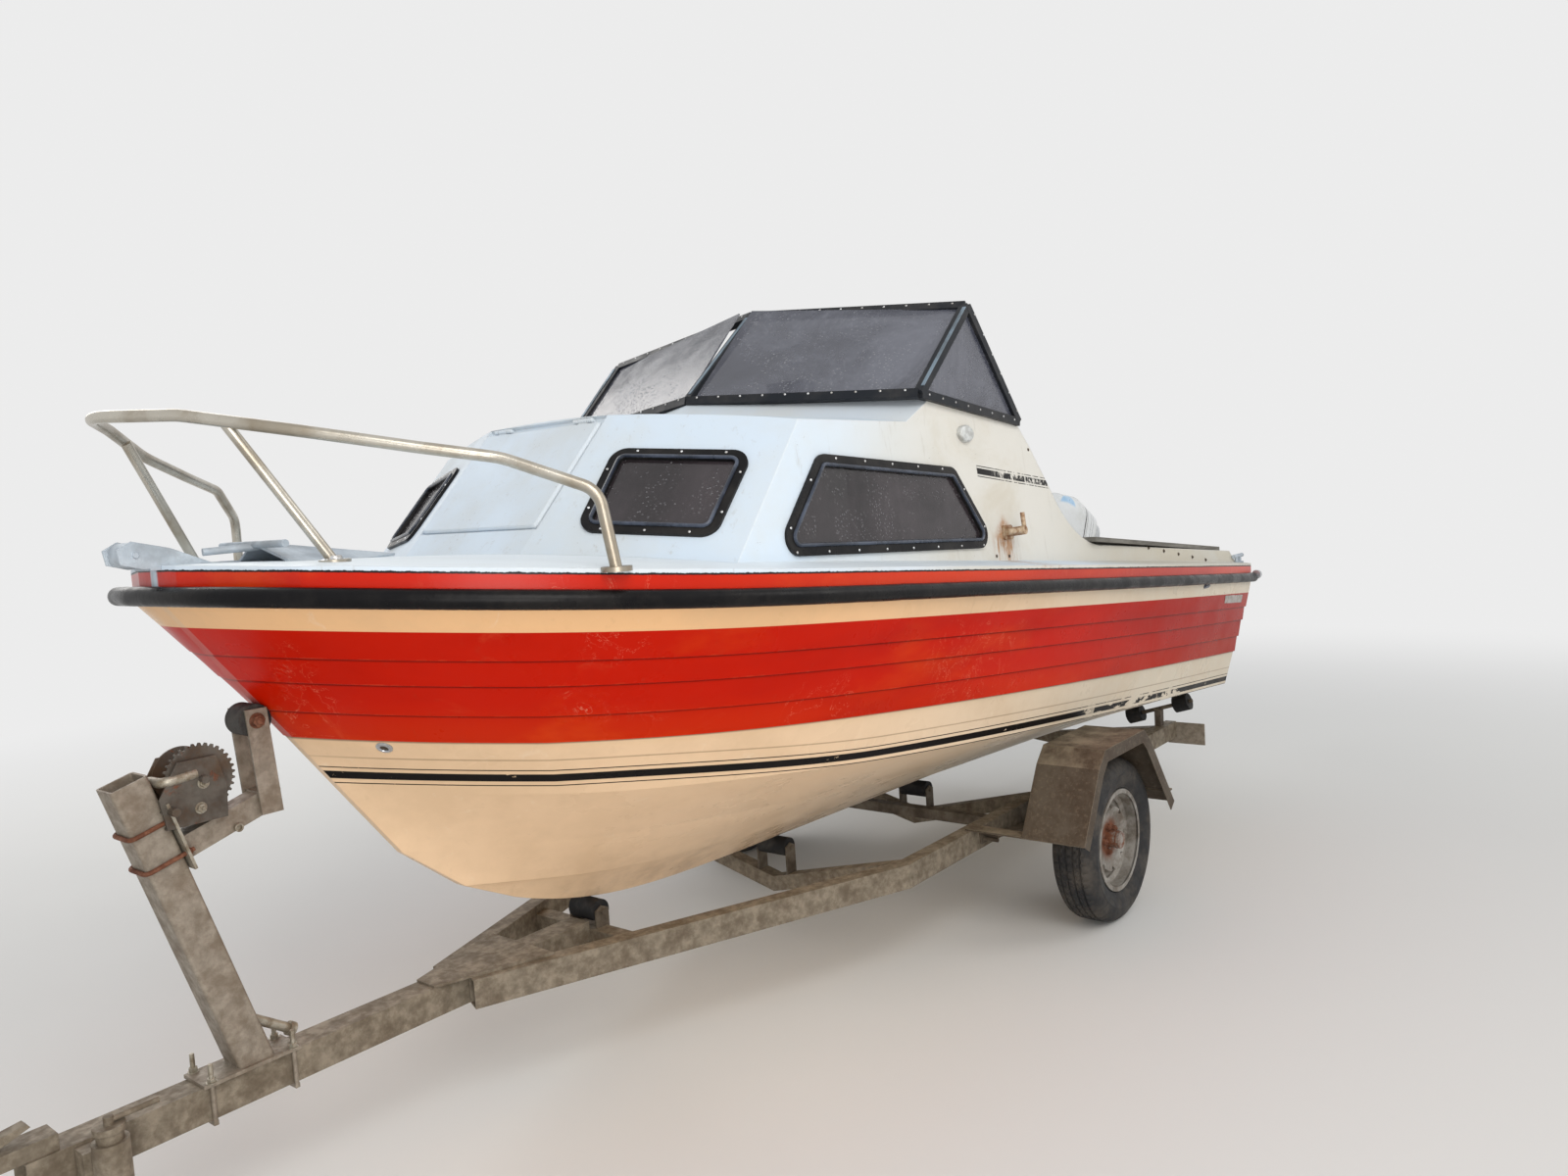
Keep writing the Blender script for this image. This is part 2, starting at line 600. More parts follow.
def dress_nodes():
    """Every CAD piece gets its finish."""
    looks = {
        hull_paint(): "hull_shell",
        deck_paint(): "deck_moulding hatch_lid",
        rubber("rub_rubber", (12, 11, 13), 0.22, 0.06): "rub_rail",
        rubber("window_rubber", (18, 18, 20), 0.24, 0.1): "window_frames",
        rubber("roller_rubber", (34, 34, 35), 0.5, 0.4):
            "bow_stop keel_rollers rear_rollers jockey_wheel",
        rubber("black_trim", (36, 38, 41), 0.35, 0.3): "steering_wheel dash_box instrument_box",
        rubber("black_frame", (33, 36, 41), 0.28, 0.15): "windscreen_frame",
        glass("cabin_glass", (33, 28, 30), (60, 53, 56), 0.88, 0.96): "window_panes",
        glass("screen_glass", (62, 64, 76), (108, 110, 120), 0.76, 0.90): "windscreen_panes",
        tube_steel(): "pulpit_rail helm_shaft",
        metal("galvanised", (154, 144, 130), (122, 112, 99), (108, 90, 70), 0.5, 0.3, 0.4, 0.55,
              scale=15): "winch_post winch_arm light_brackets",
        metal("rail_zinc", (142, 131, 114), (110, 100, 85), (84, 69, 51), 0.55, 0.25, 0.5, 0.5,
              0.05, 12): "drawbar side_rails cross_members jockey_tube jockey_clamp coupling",
        mudguard_zinc(): "mudguards",
        metal("dull_zinc", (112, 102, 88), (82, 73, 62), (62, 48, 35), 0.6, 0.25, 0.7, 0.3,
              0.15, 7): "axle leaf_springs roller_brackets rear_cradles jockey_fork",
        metal("anchor_zinc", (196, 206, 214), (160, 170, 180), (120, 112, 100), 0.5, 0.3, 0.35,
              0.5): "anchor bow_roller cleats",
        metal("worn_winch", (98, 92, 84), (70, 64, 58), (96, 70, 44), 0.5, 0.55, 0.6, rust=0.45,
              scale=9): "winch",
        metal("rusty_bracket", (196, 176, 150), (150, 112, 72), (120, 72, 36), 0.55, 0.4, 0.9,
              rust=0.55, scale=22): "side_bracket",
        rim_finish(): "rim_port rim_starboard",
        metal("motor_casting", (198, 202, 205), (187, 191, 194), (140, 134, 124), 0.35, 0.15,
              0.35, scale=5): "motor_leg motor_swivel motor_clamp",
        metal("propeller_metal", (168, 168, 170), (128, 128, 130), (90, 86, 80), 0.3, 0.9,
              scale=14): "propeller",
        metal("lamp_housing", (208, 210, 208), (176, 178, 176), (130, 122, 108), 0.35, 0.2, 0.5,
              scale=16): "side_lamps",
        board_wood(): "side_board",
        sole_paint(): "cockpit_sole berths cabin_bulkhead",
        metal("seat_moulding", (206, 204, 194), (188, 184, 170), (150, 140, 120), 0.4, 0.0, 0.6,
              scale=6): "seat_bases",
        hood_paint(): "motor_hood",
    }
    for material, names in looks.items():
        for name in names.split():
            slots = NODES[name].data.materials
            slots.clear()
            slots.append(material)


# Shapes in mesh code

def object_of(name, shape):
    """A new object of the scene, with the bmesh as its mesh."""
    mesh = bpy.data.meshes.new(name)
    shape.to_mesh(mesh)
    shape.free()
    made = bpy.data.objects.new(name, mesh)
    bpy.context.collection.objects.link(made)
    return made


def dressed(piece, material, body=HULL):
    """The piece with its finish, riding on a body of the frame."""
    piece.data.materials.clear()
    piece.data.materials.append(material)
    piece.data.polygons.foreach_set("use_smooth", [True] * len(piece.data.polygons))
    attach(piece, body)
    return piece


def piece_of(name, shape, material, body=HULL, crease=35):
    """A finished hard piece from a bmesh."""
    bmesh.ops.recalc_face_normals(shape, faces=shape.faces)
    piece = dressed(object_of(name, shape), material, body)
    piece.data.set_sharp_from_angle(angle=math.radians(crease))
    return piece


def standing(point, normal, turn=0.0):
    """Axes at a point, with Z along the normal."""
    return (Matrix.Translation(point) @ normal.to_track_quat("Z", "Y").to_matrix().to_4x4()
            @ Matrix.Rotation(turn, 4, "Z"))


def circle_section(radius, sides=8):
    turns = [math.tau * k / sides for k in range(sides)]
    return [(radius * math.cos(turn), radius * math.sin(turn)) for turn in turns]


def flat_section(width, thickness):
    w, t = width / 2, thickness / 2
    return [(-w, -t), (w, -t), (w, t), (-w, t)]


def join_rings(shape, rings, closed=False):
    """Faces between rings of points, with both ends capped or joined to each other."""
    for low, high in list(zip(rings, rings[1:])) + ([(rings[-1], rings[0])] if closed else []):
        for k in range(len(low)):
            after = (k + 1) % len(low)
            shape.faces.new((low[k], low[after], high[after], high[k]))
    if not closed:
        shape.faces.new(rings[0][::-1])
        shape.faces.new(rings[-1])


def add_turned(shape, axes, profile, sides, size=1.0):
    """A body turned about Z, from a list of radius and height in millimetres."""
    axes = axes @ Matrix.Scale(size / 1000, 4)
    join_rings(shape, [[shape.verts.new(axes @ Vector((x, y, height)))
                        for x, y in circle_section(radius, sides)]
                       for radius, height in profile])


def rounded(corners, radius, closed=False, steps=6):
    """A line through corners, with each corner turned into an arc."""
    line = []
    count = len(corners)
    for k, corner in enumerate(corners):
        if not closed and k in (0, count - 1):
            line.append(corner)
            continue
        back = (corners[k - 1] - corner).normalized()
        ahead = (corners[(k + 1) % count] - corner).normalized()
        half = back.angle(ahead) / 2
        middle = corner + (back + ahead).normalized() * (radius / math.sin(half))
        start = corner + back * (radius / math.tan(half)) - middle
        end = corner + ahead * (radius / math.tan(half)) - middle
        turn = start.angle(end)
        for step in range(steps + 1):
            share = step / steps
            line.append(middle + (start * math.sin((1 - share) * turn)
                                  + end * math.sin(share * turn)) / math.sin(turn))
    return line


def add_swept(shape, line, section, up, closed=False):
    """A bar along a line. Its section is given as offsets to the side and upward."""
    rings = []
    for k, point in enumerate(line):
        before = line[k - 1] if k or closed else line[0]
        after = line[(k + 1) % len(line)] if k < len(line) - 1 or closed else line[-1]
        along = (after - before).normalized()
        side = along.cross(up[k] if isinstance(up, list) else up).normalized()
        rise = side.cross(along)
        rings.append([shape.verts.new(point + side * a + rise * b) for a, b in section])
    join_rings(shape, rings, closed)


def surface_of(name):
    """The skin of a CAD node, to set things down on."""
    mesh = NODES[name].data
    return BVHTree.FromPolygons([vertex.co.copy() for vertex in mesh.vertices],
                                [list(polygon.vertices) for polygon in mesh.polygons])


def meet(surface, point, toward, reach):
    """Where a line through the point meets the surface, with the surface's outward normal."""
    toward = toward.normalized()
    spot, normal, _, _ = surface.ray_cast(point - toward * reach, toward, 2 * reach)
    if spot is None:
        return None, None
    return spot, (normal if normal.dot(toward) < 0 else -normal)


def seats(surface, points, toward, reach, turn=0.0):
    """Axes on a surface, where lines through the points meet it, with Z outward."""
    met = [meet(surface, point, toward, reach) for point in points]
    return [standing(spot, normal, turn) for spot, normal in met if spot]


# Turned profiles: radius and height in millimetres
PAN_HEAD = [(4.4, 0), (4.4, 1.0), (3.6, 1.9), (2.0, 2.5), (0.6, 2.6)]
SNAP_STUD = [(7.5, 0), (7.5, 0.8), (5.6, 1.6), (4.0, 2.0), (4.6, 3.6), (3.8, 4.8), (1, 5.2)]
SMALL_DOT = [(3.4, 0), (3.4, 0.9), (2.4, 1.7), (0.5, 1.9)]
FITTING = [(19, 0), (19, 2), (15, 4.5), (11, 4.5), (10, 1.5)]
FITTING_HOLE = [(9.6, 0), (9.6, 0.4)]
RAIL_CAP = [(19, -14), (20, -10), (20, 6), (17, 12), (9, 17), (2, 18)]
FOOT_FLANGE = [(27, -1), (27, 3), (24, 4.5), (16, 6), (13.8, 12), (12.8, 13)]
STAY_FOOT = [(15, -12), (16, -11), (16, 3), (15, 4), (9, 4), (8, 1)]
ARM_SOCKET = [(9.5, -1), (9.5, 9), (8.5, 10), (6, 10), (5.5, 4)]
GREASE_CAP = [(30.5, 0), (31.5, 1), (31.5, 3), (30.5, 4)]
WASHER = 1.5


def add_nut(shape, axes, across, height, stud=4, stud_height=7):
    """A hexagon nut on its washer, with the end of its bolt, in millimetres."""
    corner, top = across / math.sqrt(3), WASHER + height
    add_turned(shape, axes, [(corner * 1.25, 0), (corner * 1.25, WASHER)], 20)
    add_turned(shape, axes, [(corner * 0.95, WASHER), (corner, WASHER + 0.6), (corner, top - 1),
                             (corner * 0.88, top)], 6)
    end = top + stud_height
    add_turned(shape, axes, [(stud, top - 1), (stud, end - 1), (stud * 0.8, end)], 12)


def panel_axes(a, b, c, origin):
    """Axes in a flat panel of the port side through three points: x aft, y up, z outward."""
    a, b, c, origin = (at(*point) for point in (a, b, c, origin))
    normal = (b - a).cross(c - a).normalized()
    if normal.y < 0:
        normal = -normal
    aft = UP.cross(normal).normalized()
    origin -= normal * normal.dot(origin - a)
    turn = Matrix((aft, normal.cross(aft), normal)).transposed()
    return Matrix.Translation(origin) @ turn.to_4x4()


PANEL_TOP, PANEL_FOOT = (1.668, 0.250, 1.785), (1.921, 0.245, 1.515)
CORNER_FOOT, CORNER_TOP = (1.760, 0.765, 1.415), (1.500, 0.740, 1.707)
STERN_FOOT = (-1.560, 0.862, 1.130)
FRONT_WINDOW = [(0.051, -0.109), (0.424, -0.152), (0.357, -0.413), (-0.005, -0.372)]
SIDE_WINDOW = [(0.346, 0.244), (0.986, 0.196), (1.175, -0.058), (0.120, -0.004)]
WINDOW_CORNER = 0.046
WINDOW_PROUD = 0.009
SCREW_INSET, SCREW_PITCH = 0.0090, 0.125
BEAD_INSET, BEAD_RADIUS = 0.0265, 0.0050


def inset_corners(corners, distance):
    """The corners of an outline that runs clockwise, moved inward."""
    moved = []
    for k, corner in enumerate(corners):
        before, corner, after = (Vector(corners[(k + step) % len(corners)])
                                 for step in (-1, 0, 1))
        first, second = (corner - before).normalized(), (after - corner).normalized()
        inward = Vector((first.y + second.y, -first.x - second.x))
        moved.append(corner + inward * distance / (1 + first.dot(second)))
    return moved


def window_details(steel, bead_rubber):
    """Screws round each window's rubber, and the bead that locks the pane in."""
    screws, beads = bmesh.new(), bmesh.new()
    panels = [(panel_axes(PANEL_TOP, PANEL_FOOT, CORNER_FOOT, PANEL_TOP), FRONT_WINDOW),
              (panel_axes(CORNER_FOOT, CORNER_TOP, STERN_FOOT, CORNER_FOOT), SIDE_WINDOW)]
    for axes, corners in panels:
        outline = inset_corners(corners, SCREW_INSET)
        bead = [axes @ Vector((*flat, WINDOW_PROUD + BEAD_RADIUS * 0.3))
                for flat in inset_corners(corners, BEAD_INSET)]
        bead = rounded(bead, WINDOW_CORNER - BEAD_INSET, True)
        for place in BOTH_SIDES:
            normal = place(axes.to_3x3() @ UP)
            for start, end in zip(outline, outline[1:] + outline[:1]):
                count = max(2, round((end - start).length / SCREW_PITCH))
                for step in range(count):
                    flat = start.lerp(end, (step + 0.5) / count)
                    point = place(axes @ Vector((*flat, WINDOW_PROUD)))
                    add_turned(screws, standing(point, normal), PAN_HEAD, 12, 0.8)
            add_swept(beads, [place(point) for point in bead], circle_section(BEAD_RADIUS),
                      normal, True)
    piece_of("window_screws", screws, steel)
    piece_of("window_beads", beads, bead_rubber)


# Corners of the windscreen, on the middle lines of its bars
SCREEN_FOOT_MIDDLE, SCREEN_FOOT_CORNER = (1.075, 0, 1.875), (0.905, 0.747, 1.825)
SCREEN_FOOT_AFT = (0.335, 0.760, 1.750)
SCREEN_TOP_MIDDLE, SCREEN_TOP_CORNER = (0.734, 0, 2.167), (0.633, 0.759, 2.094)
# A bar's two ends and the way its face looks
SCREEN_BARS = [(SCREEN_TOP_MIDDLE, SCREEN_TOP_CORNER, (0.55, 0.1, 0.83)),
               (SCREEN_FOOT_MIDDLE, SCREEN_FOOT_CORNER, (0.66, 0.15, 0.74)),
               (SCREEN_TOP_CORNER, SCREEN_FOOT_AFT, (-0.45, 0.8, 0.4)),
               (SCREEN_FOOT_CORNER, SCREEN_FOOT_AFT, (0.1, 0.98, 0.15))]
CORNER_POST = (SCREEN_FOOT_CORNER, SCREEN_TOP_CORNER, (0.55, 0.62, 0.56))
MIDDLE_POST = (SCREEN_FOOT_MIDDLE, SCREEN_TOP_MIDDLE, (0.65, 0, 0.76))
BAR_REACH = 0.06
DOT_PITCH = 0.07
STRIP_WIDTH, STRIP_THICK, STRIP_STEPS = 0.011, 0.0024, 12


def screen_details(steel, strip_metal):
    """Small screws along the windscreen's bars, and the pale strips let into its posts."""
    skin = surface_of("windscreen_frame")
    screws, strips = bmesh.new(), bmesh.new()
    for place in BOTH_SIDES:
        for a, b, outward in SCREEN_BARS:
            a, b, toward = place(at(*a)), place(at(*b)), -place(outward)
            count = int((b - a).length / DOT_PITCH)
            points = [a.lerp(b, (step + 0.5) / count) for step in range(count)]
            for axes in seats(skin, points, toward, BAR_REACH):
                add_turned(screws, axes, SMALL_DOT, 10)
    for place, (a, b, outward) in ((Vector, CORNER_POST), (Vector, MIDDLE_POST),
                                   (flip, CORNER_POST)):
        a, b, toward = place(at(*a)), place(at(*b)), -place(outward)
        line, ups = [], []
        for step in range(STRIP_STEPS + 1):
            share = 0.05 + 0.9 * step / STRIP_STEPS
            spot, normal = meet(skin, a.lerp(b, share), toward, BAR_REACH)
            if spot and (not ups or normal.dot(ups[0]) > 0.9):
                line.append(spot + normal * STRIP_THICK * 0.3)
                ups.append(normal)
        add_swept(strips, line, flat_section(STRIP_WIDTH, STRIP_THICK), ups)
    piece_of("windscreen_screws", screws, steel)
    piece_of("windscreen_strips", strips, strip_metal)


# Places on the side, by x and z
STUD_FIRST, STUD_LAST, STUD_COUNT = Vector((0.0, 1.365)), Vector((-1.176, 1.176)), 9
SMALL_HOLES = [(0.585, 1.331), (0.506, 1.325), (0.034, 1.433), (0.281, 1.660)]
VENT_PLACE = (-0.913, 1.101)
VENT_HALF, VENT_RISE = 0.030, 0.017
SLATS = (-0.011, -0.0035, 0.004)
LABEL_TOP = Vector((-1.215, 1.018)), Vector((-1.500, 0.992))
LABEL_FOOT = Vector((-1.222, 0.984)), Vector((-1.495, 0.958))
LABEL_COLUMNS, LABEL_ROWS = 8, 2
SKIN_FITTING = (2.353, 1.052)
RAIL_END = (-1.628, 0.928, 1.072)
SIDE_Y, SIDE_REACH = 0.9, 0.5
BOW_Y = 0.2


def side_details(steel, dark, label_paint, chrome):
    """Snap studs for a cover, small screws, hull fittings and a blank label."""
    deck_skin, hull_skin = surface_of("deck_moulding"), surface_of("hull_shell")
    studs, screws, fitting, ends = (bmesh.new() for _ in range(4))
    shares = [k / (STUD_COUNT - 1) for k in range(STUD_COUNT)]
    stud_row = [STUD_FIRST.lerp(STUD_LAST, share) for share in shares]
    for place in BOTH_SIDES:
        for shape, spots, profile, sides, size in ((studs, stud_row, SNAP_STUD, 14, 1),
                                                   (screws, SMALL_HOLES, PAN_HEAD, 12, 1.2)):
            points = [place(at(x, SIDE_Y, z)) for x, z in spots]
            for axes in seats(deck_skin, points, -place(PORT), SIDE_REACH):
                add_turned(shape, axes, profile, sides, size)
        aft = Vector((-1, 0, -0.08)).normalized()
        add_turned(ends, standing(place(at(*RAIL_END)), aft), RAIL_CAP, 24)
    fitting_point = at(SKIN_FITTING[0], BOW_Y, SKIN_FITTING[1])
    for axes in seats(hull_skin, [fitting_point], -PORT, SIDE_REACH):
        add_turned(fitting, axes, FITTING, 28)
        add_turned(screws, axes @ Matrix.Translation((0, 0, 0.0013)), FITTING_HOLE, 24)
    piece_of("snap_studs", studs, dark)
    piece_of("side_screws", screws, dark)
    piece_of("skin_fitting", fitting, chrome)

    vent = bmesh.new()
    spot, normal = meet(hull_skin, at(VENT_PLACE[0], SIDE_Y, VENT_PLACE[1]), -PORT, SIDE_REACH)
    aft = UP.cross(normal).normalized()
    up = normal.cross(aft)
    for low in SLATS:
        line = [spot + aft * s * 0.026 + up * low + normal * 0.004 for s in (-1, 1)]
        add_swept(vent, line, flat_section(0.0045, 0.007), normal)
    rim = [spot + aft * a * VENT_HALF + up * b * VENT_RISE + normal * 0.002
           for a, b in ((-1, 1), (1, 1), (1, -1), (-1, -1))]
    add_swept(vent, rounded(rim, 0.006, True, 4), flat_section(0.006, 0.005), normal, True)
    piece_of("hull_vent", vent, steel)

    label = bmesh.new()
    columns = []
    for step in range(LABEL_COLUMNS + 1):
        top, foot = (a.lerp(b, step / LABEL_COLUMNS) for a, b in (LABEL_TOP, LABEL_FOOT))
        column = []
        for level in range(LABEL_ROWS + 1):
            x, z = top.lerp(foot, level / LABEL_ROWS)
            spot, normal = meet(hull_skin, at(x, SIDE_Y, z), -PORT, SIDE_REACH)
            column.append(label.verts.new(spot + normal * 0.0012))
        columns.append(column)
    for left, right in zip(columns, columns[1:]):
        for level in range(LABEL_ROWS):
            label.faces.new((left[level], right[level], right[level + 1], left[level + 1]))
    bmesh.ops.solidify(label, geom=label.faces[:], thickness=0.0008)
    piece_of("blank_label", label, label_paint)
    piece_of("rub_rail_ends", ends, chrome)


PULPIT_FEET = [(2.494, 0.307, 1.476), (2.171, 0.820, 1.442)]
FLANGE_SCREWS, FLANGE_TURN, SCREW_CIRCLE = 3, 0.4, 0.021


def pulpit_details(steel):
    """A round flange with three screws at each foot of the pulpit rail."""
    deck_skin = surface_of("deck_moulding")
    flanges = bmesh.new()
    for place in BOTH_SIDES:
        for axes in seats(deck_skin, [place(at(*foot)) for foot in PULPIT_FEET], -UP, 0.12):
            add_turned(flanges, axes, FOOT_FLANGE, 32)
            for k in range(FLANGE_SCREWS):
                turn = math.tau * k / FLANGE_SCREWS + FLANGE_TURN
                spot = SCREW_CIRCLE * math.cos(turn), SCREW_CIRCLE * math.sin(turn), 0.0045
                add_turned(flanges, axes @ Matrix.Translation(spot), SMALL_DOT, 10)
    piece_of("pulpit_flanges", flanges, steel)


POST_FOOT = (2.630, 0.401)                     # x and z, where the post meets its base plate
POST_LEAN = math.radians(16.5)
POST_HALF = 0.038
STRAP_BOLTS = [0.585, 0.505]                   # height up the post of its two U-bolts
STRAP_RADIUS = 0.0048
STRAP_OUT = POST_HALF + STRAP_RADIUS
STRAP_PLATE = (0.468, 0.622)                   # heights up the post of its lower and upper edge
STAY_TOP, STAY_LOW = (2.620, 0.0, 0.486), (2.530, 0.0, 0.424)
FOOT_BOLTS_X, FOOT_BOLTS_Y = (-0.078, 0.102), 0.0425


def up_post(height, ahead=0.0, aside=0.0):
    """A point by the winch post, measured up it, forward of its middle and to port."""
    lean = POST_LEAN
    return at(POST_FOOT[0] + math.sin(lean) * height + math.cos(lean) * ahead, aside,
              POST_FOOT[1] + math.cos(lean) * height - math.sin(lean) * ahead)


def trailer_details(rusty, zinc):
    """U-bolts round the winch post with their plate, its stay, and its foot bolts."""
    straps, plate, stay, bolts = (bmesh.new() for _ in range(4))
    along = Vector((math.sin(POST_LEAN), 0, math.cos(POST_LEAN)))
    back = Vector((-math.cos(POST_LEAN), 0, math.sin(POST_LEAN)))
    out = STRAP_OUT
    for height in STRAP_BOLTS:
        corners = [up_post(height, ahead, aside) for ahead, aside in
                   ((-out - 0.016, -out), (out, -out), (out, out), (-out - 0.016, out))]
        add_swept(straps, rounded(corners, 0.014), circle_section(STRAP_RADIUS, 10), along)
        for side in (-out, out):
            add_nut(straps, standing(up_post(height, -out - 0.002, side), back), 13, 7,
                    STRAP_RADIUS * 1000, 6)
    add_swept(plate, [up_post(height, -out - 0.0005) for height in STRAP_PLATE],
              flat_section(0.112, 0.006), -back)
    piece_of("strap_plate", plate, zinc)
    top, foot = at(*STAY_TOP), at(*STAY_LOW)
    add_swept(stay, [top, foot], circle_section(0.011, 16), PORT)
    add_turned(stay, standing(foot, foot - top), STAY_FOOT, 20)
    piece_of("post_stay", stay, zinc)
    for ahead in FOOT_BOLTS_X:
        for side in (-1, 1):
            spot = at(POST_FOOT[0] + ahead, side * FOOT_BOLTS_Y, POST_FOOT[1])
            add_nut(bolts, standing(spot, UP), 16, 9, 5.2, 30)
    piece_of("post_straps", straps, rusty)
    piece_of("post_foot_bolts", bolts, zinc)


ARM_TUBE = (2.616, 0.12, 0.918)                # by the short tube on the winch's arm
CHEEK_NUTS = [(2.617, 1.058), (2.689, 1.036), (2.699, 0.985)]
HANDLE_SOCKET = [(2.700, 0.048, 1.058), (2.768, 0.048, 1.052), (2.768, -0.012, 1.050)]
BOW_STOP_Y = 0.0402


def winch_details(rusty, zinc):
    """Nuts on the winch's cheeks and on the pin of the bow stop, and the two sockets."""
    low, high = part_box("winch")
    nuts, socket, pin_nuts = (bmesh.new() for _ in range(3))
    for y, toward in ((high.y, -PORT), (low.y, PORT)):
        points = [at(x, y, z) for x, z in CHEEK_NUTS]
        for axes in seats(surface_of("winch"), points, toward, 0.2, 0.3):
            add_nut(nuts, axes, 17, 8)
    for axes in seats(surface_of("winch_arm"), [at(*ARM_TUBE)], -PORT, 0.25):
        add_turned(socket, axes, ARM_SOCKET, 20)
    elbow = rounded([at(*point) for point in HANDLE_SOCKET], 0.018)
    add_swept(socket, elbow, circle_section(0.0105, 14), UP)
    piece_of("winch_sockets", socket, zinc)
    piece_of("winch_nuts", nuts, zinc)

    low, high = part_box("bow_stop")
    middle = (low + high) / 2
    for side in (-1, 1):
        spot = Vector((middle.x, side * BOW_STOP_Y, middle.z))
        add_nut(pin_nuts, standing(spot, PORT * side, 0.2), 24, 11, 8, 6)
    piece_of("bow_stop_nuts", pin_nuts, rusty)


HUB_CIRCLE, HUB_NUTS, HUB_TURN = 0.0460, 5, 0.3
CAP_OUT = 0.052
TYRE_RADIUS, TYRE_HALF = 0.286, 0.0775
TREAD_GROOVES = (-0.036, -0.0125, 0.0125, 0.036)
GROOVE_HALF, GROOVE_DEPTH = 0.0026, 0.0065
CROWN_HALF, CROWN_STEPS, CROWN_DROP = 0.040, 40, 0.0012
BLOCK_WIDTH, CUT_DEPTH = 0.012, 0.0042
TREAD_PITCHES = 62
HAIR = 1e-9                       # keeps points on the border between two blocks off it
# Half the tyre's wall, from the bead to the crown: distance from the middle, and radius
TYRE_WALL = [(0.050, 0.172), (0.056, 0.180), (0.0605, 0.1835), (0.0612, 0.1875), (0.0655, 0.192),
             (0.0702, 0.202), (0.0745, 0.216), (TYRE_HALF - 0.0008, 0.2285), (TYRE_HALF, 0.230),
             (TYRE_HALF, 0.2335), (TYRE_HALF - 0.0012, 0.235), (0.0757, 0.246),
             (0.0722, 0.2565), (0.0712, 0.258), (0.0706, 0.2605), (0.0668, 0.266),
             (0.0600, 0.2745), (0.0545, 0.2790), (0.0480, 0.2822), (0.0420, 0.2842)]


def tyre_line():
    """The whole section, with fine steps across the tread, and 1 where a point is on a rib."""
    crown = []
    for k in range(CROWN_STEPS + 1):
        y = CROWN_HALF * (2 * k / CROWN_STEPS - 1)
        sunk = min(abs(y - groove) for groove in TREAD_GROOVES) < GROOVE_HALF
        radius = TYRE_RADIUS - CROWN_DROP * (y / CROWN_HALF) ** 2
        crown.append((y, radius - (GROOVE_DEPTH if sunk else 0.0), 0 if sunk else 1))
    return ([(-y, r, 0) for y, r in TYRE_WALL] + crown
            + [(y, r, 0) for y, r in reversed(TYRE_WALL)])


def make_tyre(side, name, rubber_look):
    """A road tyre with ribs, cross cuts and a raised ring on its wall."""
    shape = bmesh.new()
    rings = []
    count = TREAD_PITCHES * 4
    for y, radius, rib in tyre_line():
        shoulder = 0.268 < radius < 0.2845 and abs(y) > CROWN_HALF
        shift = 2 * (int(abs(y + HAIR) / BLOCK_WIDTH) % 2) if rib else 0
        ring = []
        for k in range(count):
            cut = (rib or shoulder) and (k + shift) % 4 == 0
            r = radius - (CUT_DEPTH if cut else 0.0)
            turn = math.tau * k / count
            ring.append(shape.verts.new((AXLE_X + r * math.sin(turn), side * WHEEL_MIDDLE + y,
                                         WHEEL_HEIGHT + r * math.cos(turn))))
        rings.append(ring)
    join_rings(shape, rings, True)
    tyre = piece_of(f"road_tyre_{name}", shape, rubber_look, f"wheel_{name}", 28)
    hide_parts(f"tyre_{name}")


def wheel_details(side, name, rusty):
    """Five nuts on the hub, and the seam of its grease cap."""
    nuts = bmesh.new()
    for k in range(HUB_NUTS):
        turn = math.tau * k / HUB_NUTS + HUB_TURN
        point = at(HUB_CIRCLE * math.sin(turn), side * (WHEEL_MIDDLE + 0.02),
                   WHEEL_HEIGHT + HUB_CIRCLE * math.cos(turn))
        for axes in seats(surface_of(f"rim_{name}"), [point], PORT * -side, 0.12, turn):
            add_nut(nuts, axes, 19, 12, 5.5, 4)
    cap = at(0, side * (WHEEL_MIDDLE + CAP_OUT), WHEEL_HEIGHT)
    add_turned(nuts, standing(cap, PORT * side), GREASE_CAP, 32)
    piece_of(f"wheel_nuts_{name}", nuts, rusty, f"wheel_{name}")


# Cushions

SEAT_X, SEAT_Y, SEAT_BASE = 0.06, 0.43, 0.8903
PAD_SIZE = (0.440, 0.430, 0.080)
BACK_SIZE = (0.070, 0.430, 0.360)
BACK_AFT, BACK_UP, BACK_LEAN = 0.245, 0.25, math.radians(-12)
PAD_CHANNEL, BACK_CHANNEL = 0.075, 0.06        # distance of each sewn channel from the middle
CHANNEL_DEPTH, CHANNEL_WIDTH = 0.007, 0.009
SWELL_CAP = 0.014
SWELL_FRAMES = 20
STIFFNESS, PRESSURE = 12, 4
VOXEL = 0.009
WELT_RADIUS, WELT_CORNER, WELT_INSET = 0.0042, 0.03, 0.004


def applied(piece):
    """The piece's mesh as its modifiers leave it, with the modifiers gone."""
    graph = bpy.context.evaluated_depsgraph_get()
    mesh = bpy.data.meshes.new_from_object(piece.evaluated_get(graph))
    piece.modifiers.clear()
    old = piece.data
    piece.data = mesh
    bpy.data.meshes.remove(old)


